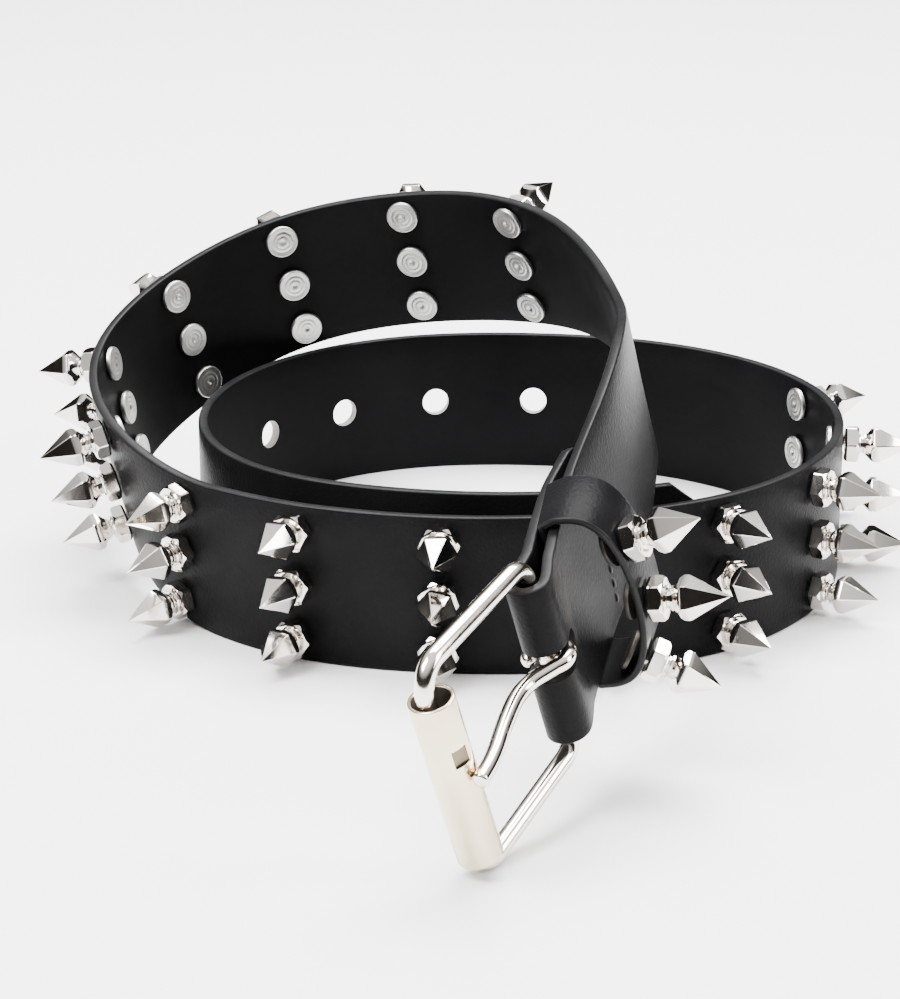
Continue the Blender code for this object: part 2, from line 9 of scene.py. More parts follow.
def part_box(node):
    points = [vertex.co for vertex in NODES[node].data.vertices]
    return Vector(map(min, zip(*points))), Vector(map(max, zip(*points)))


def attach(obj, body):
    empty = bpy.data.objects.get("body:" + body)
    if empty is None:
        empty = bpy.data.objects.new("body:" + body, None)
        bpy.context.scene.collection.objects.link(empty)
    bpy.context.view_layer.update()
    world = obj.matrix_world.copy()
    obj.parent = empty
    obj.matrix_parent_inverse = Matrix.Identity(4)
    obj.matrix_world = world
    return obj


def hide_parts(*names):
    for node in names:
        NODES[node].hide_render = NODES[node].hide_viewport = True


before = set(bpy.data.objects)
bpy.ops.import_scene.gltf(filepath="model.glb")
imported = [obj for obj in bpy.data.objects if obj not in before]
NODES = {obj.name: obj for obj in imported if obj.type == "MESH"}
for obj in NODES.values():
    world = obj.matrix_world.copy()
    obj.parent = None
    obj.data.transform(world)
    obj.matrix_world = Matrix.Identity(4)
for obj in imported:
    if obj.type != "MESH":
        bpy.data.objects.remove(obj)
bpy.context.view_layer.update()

# The strap's sizes, the same as the CAD part's, in metres
STRAP_WIDTH = 0.040
STRAP_THICKNESS = 0.0025
COIL_RADIUS = 0.088
TIP_CHAMFER_LENGTH = 0.014
TIP_CHAMFER_WIDTH = 0.011
TAIL_LENGTH = 0.043
TAIL_CORNER = 0.005
FOLD_REACH = 0.0105
TAIL_GAP = 0.0005
FIT_GAP = 0.0004
TIP_TO_FIRST_HOLE = 0.0995
HOLE_PITCH = 0.0289
HOLE_DIAMETER = 0.0078
HOLE_COUNT = 8
SLOT_WIDTH = 0.0070
SLOT_LENGTH = 0.026

# The buckle's and the keeper's sizes, the same as the CAD part's
WIRE_DIAMETER = 0.0042
ARM_LENGTH = 0.0400
BUCKLE_SWING = -17.5
ARM_SIDE_GAP = 0.0020
ARM_FLARE = 0.0020
BAR_CORNER_RADIUS = 0.0048
ROLLER_CORNER_RADIUS = 0.0064
ROLLER_DIAMETER = 0.0098
ROLLER_WALL = 0.0009
ROLLER_LENGTH = 0.0410
ROLLER_SLIDE = 0.0016
PRONG_DIAMETER = 0.0036
KEEPER_POSITION = 0.0150
KEEPER_WIDTH = 0.0165
KEEPER_THICKNESS = 0.0016
KEEPER_CORNER = 0.0014
KEEPER_BULGE = 0.0134
KEEPER_SIDE_GAP = 0.0012
KEEPER_ROUNDING = 0.62

# The studs' sizes
NUT_ACROSS_CORNERS = 0.0102
NUT_HEIGHT = 0.0038
NECK_DIAMETER = 0.0046
NECK_HEIGHT = 0.0020
HEAD_ACROSS_CORNERS = 0.0100
HEAD_BAND_HEIGHT = 0.0020
HEAD_UNDERSIDE_HEIGHT = 0.0012
POINT_HEIGHT = 0.0086
BACK_DIAMETER = 0.0090
BACK_THICKNESS = 0.0011

# The strap's way from the buckle to the tip, with these columns in each row:
# x and y as shares of COIL_RADIUS, the height of the lower edge as a share of STRAP_WIDTH,
# the lean of the strap's width away from the coil in degrees, and how far its face is bowed across.
STATIONS = (
    (0.29, -1.19, 0.50, -10, 0),
    (0.368, -0.902, 0.72, -12, 18),
    (0.455, -0.581, 0.94, -13, 14),
    (0.50, -0.30, 1.10, -12, 4),
    (0.52, 0.10, 1.08, -14, 0),
    (0.48, 0.52, 1.18, -20, 0),
    (0.38, 0.84, 1.29, -26, 0),
    (0.20, 1.03, 1.28, -20, 0),
    (-0.07, 1.19, 1.19, -13, 0),
    (-0.46, 1.21, 1.02, -7, 0),
    (-0.79, 1.03, 0.75, 2, 0),
    (-1.00, 0.69, 0.46, 9, 0),
    (-0.96, 0.28, 0.25, 13, 0),
    (-0.73, -0.06, 0.02, 5, 0),
    (-0.41, -0.29, 0.00, 0, 0),
    (0.00, -0.39, 0.00, 0, 0),
    (0.43, -0.36, 0.00, -2, 0),
    (0.82, -0.18, 0.00, -3, 0),
    (1.08, 0.16, 0.00, -1, 0),
    (1.16, 0.58, 0.00, 0, 0),
    (1.03, 0.98, 0.00, 0, 0),
    (0.72, 1.26, 0.00, 0, 0),
    (0.28, 1.38, 0.00, 0, 0),
    (-0.16, 1.34, 0.00, 0, 0),
    (-0.52, 1.10, 0.00, 0, 0),
    (-0.71, 0.74, 0.00, 0, 0),
    (-0.72, 0.36, 0.00, 0, 0),
    (-0.54, 0.03, 0.00, 0, 0),
    (-0.20, -0.15, 0.00, 0, 0),
    (0.20, -0.20, 0.00, 0, 0),
    (0.55, -0.14, 0.00, 0, 0),
    (0.76, -0.06, 0.00, 0, 0),
)

# The prong's bends: the share of the way from the bar to the roller, and of the height on the roller.
PRONG_BENDS = (
    (0.28, -0.06),
    (0.58, 0.33),
    (0.84, 0.84),
    (1.04, 1.00),
)

# How the CAD part shapes the fold, and how finely it draws the wire
FOLD_LEAD = 62
FOLD_PULL = 0.8
LEAST_BOW = 0.01
CAD_CORNER_STEPS = 4
CAD_WIRE_SIDES = 10

# How finely the looks are drawn
FOLD_LEAD_POINTS = 12
FOLD_TURN_POINTS = 31
FOLD_SECTIONS = 45
HOLE_SIDES = 32
STITCH_STEPS = 8
STITCH_SIDES = 8
KEEPER_STEPS = 48
WIRE_CORNER_STEPS = 14
WIRE_SIDES = 24
PRONG_SIDES = 20
ROLLER_SIDES = 72
BACK_SIDES = 40

# Details that only the looks have
EDGE_ROUND = 0.00055
CORNER_POINTS = 4
FACE_STEPS = 8
SECTION = 0.0025
SECTION_ROOM = 0.001
SHARP_ANGLE = 38
STITCH_PITCH = 0.0040
STITCH_MARGIN = 0.003
STITCH_OFFSET = 0.15
STITCH_SHARE = 0.72
STITCH_SINK = 0.35
STITCH_RADIUS = 0.00038
STITCH_LINE = 0.0285
GRAIN_SIZE = 0.0009
NOTCH_SIZE = (0.0036, 0.0042, 0.0013)
NOTCH_PLACE = -0.0076
NOTCH_TURN = 19
SEAM_DEPTH = 0.00012
STUD_TURN = 23
ROUND_OFF = 0.00002

# The camera, measured from the coil's own centre
CAMERA_ELEVATION = 19.5
CAMERA_DISTANCE = 0.685
CAMERA_AIM_HEIGHT = 0.032
CAMERA_LENS = 99.1
CAMERA_SENSOR = 36


# The strap's course


def natural_spline(knots, values, at):
    """The smooth curve through values at knots, read at other places."""
    count = len(knots)
    step = np.diff(knots)
    matrix = np.eye(count)
    right = np.zeros((count, values.shape[1]))
    for i in range(1, count - 1):
        matrix[i, i - 1:i + 2] = step[i - 1], 2 * (step[i - 1] + step[i]), step[i]
        slope_after = (values[i + 1] - values[i]) / step[i]
        slope_before = (values[i] - values[i - 1]) / step[i - 1]
        right[i] = 6 * (slope_after - slope_before)
    bend = np.linalg.solve(matrix, right)
    i = np.clip(np.searchsorted(knots, at, side="right") - 1, 0, count - 2)
    length = step[i][:, None]
    past = (at - knots[i])[:, None]
    left = length - past
    curved = (bend[i] * left ** 3 + bend[i + 1] * past ** 3) / (6 * length)
    straight_start = (values[i] / length - bend[i] * length / 6) * left
    straight_end = (values[i + 1] / length - bend[i + 1] * length / 6) * past
    return curved + straight_start + straight_end


class Course:
    """The strap's middle line, with the directions along it, up its width and out of its face."""

    SAMPLES = 2400

    def __init__(self, start_rise):
        table = np.array(STATIONS, float)
        table[0, 2] = start_rise
        lean = np.radians(table[:, 3])
        height = table[:, 2] * STRAP_WIDTH + 0.5 * STRAP_WIDTH * np.cos(lean)
        plan = table[:, :2] * COIL_RADIUS
        values = np.column_stack([plan, height, lean, np.radians(table[:, 4])])
        knots = self.distance(values[:, :3])
        fine = natural_spline(knots, values, np.linspace(0, knots[-1], self.SAMPLES))
        fine[:, 2] = np.maximum(fine[:, 2], STRAP_WIDTH / 2 * np.cos(fine[:, 3]))
        self.point = fine[:, :3]
        self.s = self.distance(self.point)
        self.length = self.s[-1]
        self.bow = np.maximum(fine[:, 4], 0)
        self.along = self.unit(np.gradient(self.point, self.s, axis=0))
        flat_out = self.unit(np.column_stack([self.along[:, 1], -self.along[:, 0], 0 * self.s]))
        upright = np.cos(fine[:, 3])[:, None] * np.array([0.0, 0.0, 1.0])
        up = upright + np.sin(fine[:, 3])[:, None] * flat_out
        up = up - (up * self.along).sum(1)[:, None] * self.along
        self.up = self.unit(up)
        self.out = np.cross(self.along, self.up)

    @staticmethod
    def distance(points):
        return np.concatenate([[0], np.cumsum(np.linalg.norm(np.diff(points, axis=0), axis=1))])

    @staticmethod
    def unit(vectors):
        return vectors / np.linalg.norm(vectors, axis=1)[:, None]

    def read(self, s):
        """Point, along, up, out and bow at the distance s from the fold."""
        rows = [Vector([np.interp(s, self.s, column) for column in self.point.T])]
        for table in (self.along, self.up, self.out):
            rows.append(Vector([np.interp(s, self.s, column) for column in table.T]).normalized())
        return (*rows, float(np.interp(s, self.s, self.bow)))

    def face(self, s, across):
        """The point of the middle surface at s and across, and the direction out of it."""
        point, _, up, out, bow = self.read(s)
        if bow < LEAST_BOW:
            return point + up * across, out
        radius = STRAP_WIDTH / bow
        turn = across / radius
        place = point + up * radius * sin(turn) - out * radius * (1 - cos(turn))
        return place, out * cos(turn) + up * sin(turn)


WRAP_RADIUS = WIRE_DIAMETER / 2 + FIT_GAP + STRAP_THICKNESS / 2
LAYER_STEP = STRAP_THICKNESS + KEEPER_THICKNESS + 2 * FIT_GAP
ROLLER_OFFSET = ROLLER_DIAMETER / 2 - ROLLER_WALL - WIRE_DIAMETER / 2 - FIT_GAP


class Bar:
    """The buckle's bar in the strap's fold: its centre, its axes and the way to the roller."""

    def __init__(self, course):
        self.start, self.along, self.up, self.out, _ = course.read(0.0)
        self.centre = self.start - self.along * FOLD_REACH - self.out * LAYER_STEP / 2
        swing = radians(BUCKLE_SWING)
        self.toward = -self.along * cos(swing) + self.out * sin(swing)

    def foot_height(self):
        """The height of the buckle's lowest point, on its wire or on its roller."""
        wire = np.array([p.to_2d() for p in frame_outline(CAD_CORNER_STEPS)])
        tangent = Course.unit(np.roll(wire, -1, axis=0) - np.roll(wire, 1, axis=0))
        fall = np.array([self.toward.z, self.up.z])
        wire_low = (wire @ fall - WIRE_DIAMETER / 2 * np.sqrt(1 - (tangent @ fall) ** 2)).min()
        tube = np.array([ARM_LENGTH - ROLLER_OFFSET, -ROLLER_LENGTH / 2 - ROLLER_SLIDE])
        tube_low = tube @ fall - ROLLER_DIAMETER / 2 * sqrt(1 - self.up.z ** 2)
        return self.centre.z + min(wire_low, tube_low)


def frame_outline(steps):
    """The wire's middle line: a rectangle with rounded corners, x from the bar to the roller, y up it."""
    half = STRAP_WIDTH / 2 + ARM_SIDE_GAP + WIRE_DIAMETER / 2
    lean = atan2(ARM_FLARE, ARM_LENGTH)
    points = []
    for number in range(4):
        far = number in (0, 3)
        radius = ROLLER_CORNER_RADIUS if far else BAR_CORNER_RADIUS
        inset = radius * tan(pi / 4 + (lean if far else -lean) / 2)
        x = ARM_LENGTH - radius if far else radius
        y = half + (ARM_FLARE if far else 0) - inset
        for k in range(steps + 1):
            first, last = ((0, pi / 2 + lean), (pi / 2 + lean, pi))[not far]
            share = k / steps if number in (0, 1) else 1 - k / steps
            w = first + (last - first) * share
            side = 1 if number in (0, 1) else -1
            points.append(Vector((x + radius * cos(w), side * (y + radius * sin(w)), 0)))
    return points


def settled_course():
    """The course whose start is just high enough for the buckle to stand on the floor."""
    low, high = 0.0, 2.0
    for _ in range(24):
        middle = (low + high) / 2
        if Bar(Course(middle)).foot_height() > 0:
            high = middle
        else:
            low = middle
    return Course(high)


COURSE = settled_course()
BAR = Bar(COURSE)
HOLES = [COURSE.length - TIP_TO_FIRST_HOLE - i * HOLE_PITCH for i in range(HOLE_COUNT)]


def fold_line():
    """The fold seen along the bar: from the crease of the outer layer round to the inner one's."""
    middle = -LAYER_STEP / 2
    half = radians(FOLD_LEAD) + pi / 8
    touch = np.array([FOLD_REACH + WRAP_RADIUS * cos(half), middle + WRAP_RADIUS * sin(half)])
    aim = np.array([sin(half), -cos(half)])
    pull = FOLD_REACH * FOLD_PULL
    outer = []
    for t in np.linspace(0, 1, FOLD_LEAD_POINTS)[:-1]:
        b = t ** 3 - 2 * t ** 2 + t
        c = -2 * t ** 3 + 3 * t ** 2
        d = t ** 3 - t ** 2
        outer.append(b * pull * np.array([1.0, 0.0]) + c * touch + d * pull * aim)
    turn = [np.array([FOLD_REACH + WRAP_RADIUS * cos(w), middle + WRAP_RADIUS * sin(w)])
            for w in np.linspace(half, -half, FOLD_TURN_POINTS)]
    inner = [np.array([p[0], 2 * middle - p[1]]) for p in reversed(outer)]
    return np.array(outer + turn + inner)


FOLD = fold_line()
FOLD_S = Course.distance(FOLD)
FOLD_LENGTH = FOLD_S[-1]
FOLD_TANGENT = Course.unit(np.gradient(FOLD, FOLD_S, axis=0))


def layer_step(s):
    """How far inside the outer layer the tail lies; past the keeper it closes up on that layer."""
    keeper_end = KEEPER_POSITION + KEEPER_WIDTH / 2
    share = min(max((s - keeper_end) / (TAIL_LENGTH - keeper_end), 0), 1)
    return LAYER_STEP - (LAYER_STEP - STRAP_THICKNESS - TAIL_GAP) * share ** 2 * (3 - 2 * share)


def bend(flat, across, depth):
    """Take a point of the flat strap to its place on the coil."""
    if flat >= 0:
        place, out = COURSE.face(flat, across)
        return place + out * depth
    if flat <= -FOLD_LENGTH:
        s = -FOLD_LENGTH - flat
        place, out = COURSE.face(s, across)
        return place - out * (layer_step(s) + depth)
    s = -flat
    tangent = np.array([np.interp(s, FOLD_S, column) for column in FOLD_TANGENT.T])
    point = [np.interp(s, FOLD_S, column) for column in FOLD.T]
    toward = point[0] - tangent[1] * depth
    outward = point[1] + tangent[0] * depth
    return BAR.start - BAR.along * toward + BAR.out * outward + BAR.up * across


# Materials


class Material:
    """A node material with short helpers for what every finish here is made of."""

    def __init__(self, name):
        self.made = bpy.data.materials.new(name)
        self.made.use_nodes = True
        self.tree = self.made.node_tree
        self.shader = self.tree.nodes["Principled BSDF"]
        self.coordinates = self.node("ShaderNodeTexCoord").outputs["Object"]

    def node(self, kind, **settings):
        made = self.tree.nodes.new(kind)
        for name, value in settings.items():
            setattr(made, name, value)
        return made

    def link(self, source, target):
        self.tree.links.new(source, target)

    def noise(self, scale, detail=3, roughness=0.55):
        made = self.node("ShaderNodeTexNoise")
        made.inputs["Scale"].default_value = scale
        made.inputs["Detail"].default_value = detail
        made.inputs["Roughness"].default_value = roughness
        self.link(self.coordinates, made.inputs["Vector"])
        return made.outputs["Fac"]

    def cells(self, scale):
        made = self.node("ShaderNodeTexVoronoi")
        made.inputs["Scale"].default_value = scale
        self.link(self.coordinates, made.inputs["Vector"])
        return made.outputs["Distance"]

    def spread(self, source, low, high, new_low, new_high):
        made = self.node("ShaderNodeMapRange")
        ends = {"From Min": low, "From Max": high, "To Min": new_low, "To Max": new_high}
        for name, value in ends.items():
            made.inputs[name].default_value = value
        self.link(source, made.inputs["Value"])
        return made.outputs["Result"]

    def ramp(self, source, stops):
        made = self.node("ShaderNodeValToRGB")
        ramp = made.color_ramp
        while len(ramp.elements) < len(stops):
            ramp.elements.new(0.5)
        for element, (place, colour) in zip(ramp.elements, stops):
            element.position = place
            element.color = (*colour, 1)
        self.link(source, made.inputs["Fac"])
        return made.outputs["Color"]

    def add(self, a, b, share=1.0):
        scaled = self.node("ShaderNodeMath", operation="MULTIPLY")
        scaled.inputs[1].default_value = share
        self.link(b, scaled.inputs[0])
        total = self.node("ShaderNodeMath", operation="ADD")
        self.link(a, total.inputs[0])
        self.link(scaled.outputs[0], total.inputs[1])
        return total.outputs[0]

    def bump(self, height, strength, distance):
        made = self.node("ShaderNodeBump")
        made.inputs["Strength"].default_value = strength
        made.inputs["Distance"].default_value = distance
        self.link(height, made.inputs["Height"])
        self.link(made.outputs["Normal"], self.shader.inputs["Normal"])

    def set(self, **values):
        for name, value in values.items():
            self.shader.inputs[name.replace("_", " ").title().replace("Ior", "IOR")].default_value = value

    def feed(self, name, source):
        self.link(source, self.shader.inputs[name])


def grained_leather():
    """The strap's outer face: fine pebbled grain under a low sheen."""
    m = Material("leather_outer")
    pebbles = m.cells(1 / GRAIN_SIZE)
    fine = m.noise(2200, 4)
    wide = m.noise(38, 2)
    blacks = ((0.3, (0.0025, 0.0025, 0.003)), (0.9, (0.008, 0.008, 0.0085)))
    m.feed("Base Color", m.ramp(m.add(wide, fine, 0.25), blacks))
    m.feed("Roughness", m.spread(m.add(wide, fine, 0.5), 0.4, 1.1, 0.26, 0.44))
    m.set(specular_ior_level=0.03)
    m.bump(m.add(m.add(pebbles, fine, 0.8), wide, 0.3), 0.45, 0.00013)
    return m.made


def smooth_leather():
    """The strap's inner face: smooth and deep black, with a slightly uneven sheen."""
    m = Material("leather_inner")
    fine = m.noise(1500, 3)
    wide = m.noise(30, 3)
    m.feed("Base Color", m.ramp(wide, ((0.3, (0.0015, 0.0015, 0.002)), (0.8, (0.005, 0.005, 0.0055)))))
    m.feed("Roughness", m.spread(wide, 0.3, 0.7, 0.46, 0.60))
    m.set(specular_ior_level=0.05)
    m.bump(m.add(fine, wide, 0.8), 0.30, 0.00012)
    return m.made


def cut_leather():
    """The strap's burnished edges: dark grey and smooth, with faint fibres."""
    m = Material("leather_edge")
    fibres = m.noise(900, 4, 0.7)
    wide = m.noise(60, 2)
    m.feed("Base Color", m.ramp(wide, ((0.3, (0.005, 0.005, 0.0055)), (0.8, (0.013, 0.013, 0.0135)))))
    m.feed("Roughness", m.spread(fibres, 0.3, 0.8, 0.30, 0.50))
    m.set(specular_ior_level=0.10)
    m.bump(m.add(fibres, wide, 0.6), 0.35, 0.00015)
    return m.made


def punched_leather():
    """The walls of the punched holes: the pale raw core of the leather."""
    m = Material("leather_punched")
    fibres = m.noise(1600, 4, 0.7)
    m.feed("Base Color", m.ramp(fibres, ((0.3, (0.30, 0.29, 0.27)), (0.8, (0.48, 0.46, 0.43)))))
    m.set(roughness=0.7)
    m.bump(fibres, 0.4, 0.00012)
    return m.made


def thread():
    """Black waxed thread, finely uneven."""
    m = Material("stitch_thread")
    twist = m.noise(2600, 2)
    m.feed("Base Color", m.ramp(twist, ((0.3, (0.010, 0.010, 0.011)), (0.8, (0.035, 0.035, 0.036)))))
    m.feed("Roughness", m.spread(twist, 0.3, 0.8, 0.45, 0.7))
    m.bump(twist, 0.5, 0.0002)
    return m.made


def nickel(name, colour, warm, smooth, rough):
    """Bright plating: nearly a mirror, with faint waves, fine unevenness and duller patches."""
    m = Material(name)
    wide = m.noise(95, 3)
    fine = m.noise(1400, 5, 0.7)
    m.feed("Base Color", m.ramp(wide, ((0.25, colour), (0.85, warm))))
    m.feed("Roughness", m.spread(m.add(wide, fine, 0.6), 0.5, 1.1, smooth, rough))
    m.set(metallic=1.0)
    m.bump(m.add(wide, fine, 0.12), 0.10, 0.00012)
    return m.made


def painted_shade_metal():
    """The inside of the roller and the keeper's screw backs: painted shade, a dark metal laid where these
    hollows lie in shade.
    """
    m = Material("metal_painted_shade")
    m.feed("Base Color", m.ramp(m.noise(400, 3), ((0.3, (0.05, 0.045, 0.04)), (0.8, (0.10, 0.09, 0.08)))))
    m.set(metallic=1.0, roughness=0.55)
    return m.made


def pressed_back():
    """The screws' round backs: duller than the plating, with finely rough patches."""
    m = Material("stud_backs")
    fine = m.noise(1800, 5, 0.7)
    wide = m.noise(140, 3)
    m.feed("Base Color", m.ramp(wide, ((0.3, (0.42, 0.41, 0.40)), (0.8, (0.60, 0.59, 0.57)))))
    m.feed("Roughness", m.spread(m.add(wide, fine, 0.6), 0.5, 1.1, 0.26, 0.42))
    m.set(metallic=1.0)
    m.bump(m.add(fine, wide, 0.7), 0.30, 0.00018)
    return m.made


OUTER = grained_leather()
INNER = smooth_leather()
EDGE = cut_leather()
PUNCHED = punched_leather()
THREAD = thread()
CHROME = nickel("stud_nickel", (0.74, 0.70, 0.65), (0.84, 0.79, 0.74), 0.05, 0.13)
BACK = pressed_back()
WIRE = nickel("buckle_nickel", (0.78, 0.71, 0.63), (0.85, 0.78, 0.70), 0.08, 0.17)
# Dark painted shade for the roller's bore and the keeper's screw backs.
PAINTED_SHADE_METAL = painted_shade_metal()
# The notch's floor: nickel painted dark brown as the shade of the recess.
NOTCH_SHADE = nickel("roller_notch_painted_shade", (0.10, 0.08, 0.055), (0.20, 0.16, 0.11), 0.25, 0.35)
TUBE = nickel("roller_nickel", (0.72, 0.60, 0.42), (0.80, 0.68, 0.50), 0.16, 0.26)


# Mesh helpers


def new_object(name, data):
    made = bpy.data.objects.new(name, data)
    bpy.context.scene.collection.objects.link(made)
    return made


def make_mesh(name, bm, finishes, sharp):
    """A smooth mesh, with edges kept sharp above an angle in degrees."""
    mesh = bpy.data.meshes.new(name)
    bm.to_mesh(mesh)
    bm.free()
    mesh.shade_smooth()
    mesh.set_sharp_from_angle(angle=radians(sharp))
    for finish in finishes:
        mesh.materials.append(finish)
    return mesh


def add_object(name, bm, finishes, sharp=SHARP_ANGLE):
    return new_object(name, make_mesh(name, bm, finishes, sharp))


def place(made, body, node, slot):
    """Let a piece ride on its body, in the place of the CAD node it stands for."""
    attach(made, body)
    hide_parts(node)


def loft(bm, rings, closed=False):
    """Join rings of equally many points into one skin, with flat ends unless it is closed."""
    loops = [[bm.verts.new(p) for p in ring] for ring in rings]
    pairs = list(zip(loops, loops[1:]))
    if closed:
        pairs.append((loops[-1], loops[0]))
    for a, b in pairs:
        for i in range(len(a)):
            j = (i + 1) % len(a)
            bm.faces.new((a[i], a[j], b[j], b[i]))
    if not closed:
        bm.faces.new(loops[0])
        bm.faces.new(loops[-1])
    bmesh.ops.recalc_face_normals(bm, faces=bm.faces)


def circle(x, radius, sides):
    turns = [2 * pi * i / sides for i in range(sides)]
    return [(x + radius * cos(turn), radius * sin(turn)) for turn in turns]


def rounded_box(half, depth):
    """A cross-section with rounded corners as (across, depth), anticlockwise."""
    r = EDGE_ROUND
    points = []
    for corner, (sx, sy) in enumerate(((1, 1), (-1, 1), (-1, -1), (1, -1))):
        for k in range(CORNER_POINTS):
            w = radians(90 * corner + 90 / (CORNER_POINTS - 1) * k)
            points.append((sx * (half - r) + r * cos(w), sy * (depth - r) + r * sin(w)))
    return points


def subtract(bm, cutter):
    """The first mesh with the second one cut out of it."""
    pair = []
    for name, shape in (("whole", bm), ("cutter", cutter)):
        mesh = bpy.data.meshes.new(name)
        shape.to_mesh(mesh)
        shape.free()
        pair.append(new_object(name, mesh))
    boolean = pair[0].modifiers.new("holes", "BOOLEAN")
    boolean.operation = "DIFFERENCE"
    boolean.object = pair[1]
    boolean.solver = "EXACT"
    bpy.context.view_layer.update()
    evaluated = pair[0].evaluated_get(bpy.context.evaluated_depsgraph_get())
    cut = bmesh.new()
    cut.from_mesh(evaluated.to_mesh())
    evaluated.to_mesh_clear()
    for made in pair:
        bpy.data.objects.remove(made)
    return cut


# The strap


def strap_profile(half):
    """The strap's cross-section, with points along both its faces too."""
    points = rounded_box(half, STRAP_THICKNESS / 2)
    face_starts = (CORNER_POINTS - 1, 3 * CORNER_POINTS - 1)
    body = []
    for i, (x, y) in enumerate(points):
        body.append((x, y))
        if i in face_starts:
            nx, ny = points[i + 1]
            for k in range(1, FACE_STEPS):
                body.append((x + (nx - x) * k / FACE_STEPS, y + (ny - y) * k / FACE_STEPS))
    return body


def half_width(flat):
    """Half the strap's width at a place along it, less at the chamfered tip and the tail's corners."""
    half = STRAP_WIDTH / 2
    to_tip = COURSE.length - flat
    to_tail = flat + FOLD_LENGTH + TAIL_LENGTH
    if to_tip < TIP_CHAMFER_LENGTH:
        half -= TIP_CHAMFER_WIDTH * (1 - to_tip / TIP_CHAMFER_LENGTH)
    if to_tail < TAIL_CORNER:
        half -= TAIL_CORNER - sqrt(max(TAIL_CORNER ** 2 - (TAIL_CORNER - to_tail) ** 2, 0))
    return half


def strap_sections():
    """The places along the flat strap, the tail's end being below zero, where it gets a cross-section."""
    start = -FOLD_LENGTH - TAIL_LENGTH
    end = COURSE.length
    inside = np.arange(start + TAIL_CORNER, end - TIP_CHAMFER_LENGTH, SECTION)
    tail = [start + TAIL_CORNER * (1 - cos(radians(w))) for w in (0, 10, 25, 40, 55, 70)]
    fold = list(np.linspace(-FOLD_LENGTH, 0, FOLD_SECTIONS))
    inside = [s for s in inside if not -FOLD_LENGTH - SECTION_ROOM < s < SECTION_ROOM]
    tip = list(np.linspace(end - TIP_CHAMFER_LENGTH, end, 6))
    return sorted(tail + fold + inside + tip)


def slot_outline():
    x = -FOLD_LENGTH / 2
    reach = SLOT_LENGTH / 2 - SLOT_WIDTH / 2
    points = []
    for side, first in ((1, -90), (-1, 90)):
        for k in range(9):
            w = radians(first + 22.5 * k)
            points.append((x + side * reach + SLOT_WIDTH / 2 * cos(w), SLOT_WIDTH / 2 * sin(w)))
    return points


def strap_cutters():
    bm = bmesh.new()
    outlines = [circle(x, HOLE_DIAMETER / 2, HOLE_SIDES) for x in HOLES] + [slot_outline()]
    for outline in outlines:
        loft(bm, [[Vector((x, y, z)) for x, y in outline] for z in (-STRAP_THICKNESS, STRAP_THICKNESS)])
    return bm


def make_strap():
    bm = bmesh.new()
    rings = []
    for flat in strap_sections():
        profile = strap_profile(half_width(flat))
        rings.append([Vector((flat, across, depth)) for across, depth in profile])
    loft(bm, rings)
    cut = subtract(bm, strap_cutters())
    for face in cut.faces:
        normal = face.normal
        face.material_index = 0 if normal.z > 0.8 else 1 if normal.z < -0.8 else 2
        middle = face.calc_center_median()
        reach = HOLE_DIAMETER / 2 + ROUND_OFF
        if abs(normal.z) < 0.5 and any(hypot(middle.x - x, middle.y) < reach for x in HOLES):
            face.material_index = 3
    for vert in cut.verts:
        vert.co = bend(*vert.co) + SHIFT
    made = add_object("strap_leather", cut, (OUTER, INNER, EDGE, PUNCHED))
    place(made, "belt", "strap", "black_leather")


def stitch(bm, a, b, lift):
    """One stitch: a short bent capsule of thread from a to b."""
    along = b - a
    side = along.cross(lift).normalized()
    up = lift.normalized()
    turns = [2 * pi * i / STITCH_SIDES for i in range(STITCH_SIDES)]
    rings = []
    for k in range(STITCH_STEPS + 1):
        t = k / STITCH_STEPS
        size = STITCH_RADIUS * sqrt(max(1 - (2 * t - 1) ** 6, 0.06))
        middle = a + along * t + up * (STITCH_RADIUS * 0.9 * sin(pi * t))
        rings.append([middle + (side * cos(turn) + up * sin(turn)) * size for turn in turns])
    loft(bm, rings)


def make_stitches():
    """A row of stitches across the strap where its tail is sewn down, seen on both faces."""
    bm = bmesh.new()
    count = int((STRAP_WIDTH - 2 * STITCH_MARGIN) / STITCH_PITCH)
    front = STRAP_THICKNESS / 2
    back = -STRAP_THICKNESS / 2 - layer_step(STITCH_LINE)
    for i in range(count):
        a = (i - count / 2 + STITCH_OFFSET) * STITCH_PITCH
        b = a + STITCH_PITCH * STITCH_SHARE
        for side, depth in ((1, front), (-1, back)):
            ends = []
            for across in (a, b):
                middle, out = COURSE.face(STITCH_LINE, across)
                ends.append(middle + out * (depth - side * STITCH_RADIUS * STITCH_SINK) + SHIFT)
            stitch(bm, ends[0], ends[1], out * side)
    made = add_object("tail_stitches", bm, (THREAD,), sharp=60)
    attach(made, "belt")


# The keeper


def keeper_bulge(turn):
    """The keeper's middle line over the strap, turn running from one edge of the strap to the other."""
    half = STRAP_WIDTH / 2 + KEEPER_SIDE_GAP + KEEPER_THICKNESS / 2
    return Vector((half * cos(turn), KEEPER_BULGE * max(sin(turn), 0) ** KEEPER_ROUNDING))


def keeper_line(bow, steps):
    """The keeper's middle line round the strap's outer layer, as (across, outward) from its middle."""
    back = -LAYER_STEP / 2
    radius = STRAP_WIDTH / max(bow, LEAST_BOW)
    points = [keeper_bulge(pi * k / steps) for k in range(steps + 1)]
    half = points[0].x - KEEPER_CORNER
    for k in range(steps // 2 + 1):
        across = -half + 2 * half * k / (steps // 2)
        points.append(Vector((across, back - radius + sqrt(radius ** 2 - across ** 2))))
    return points


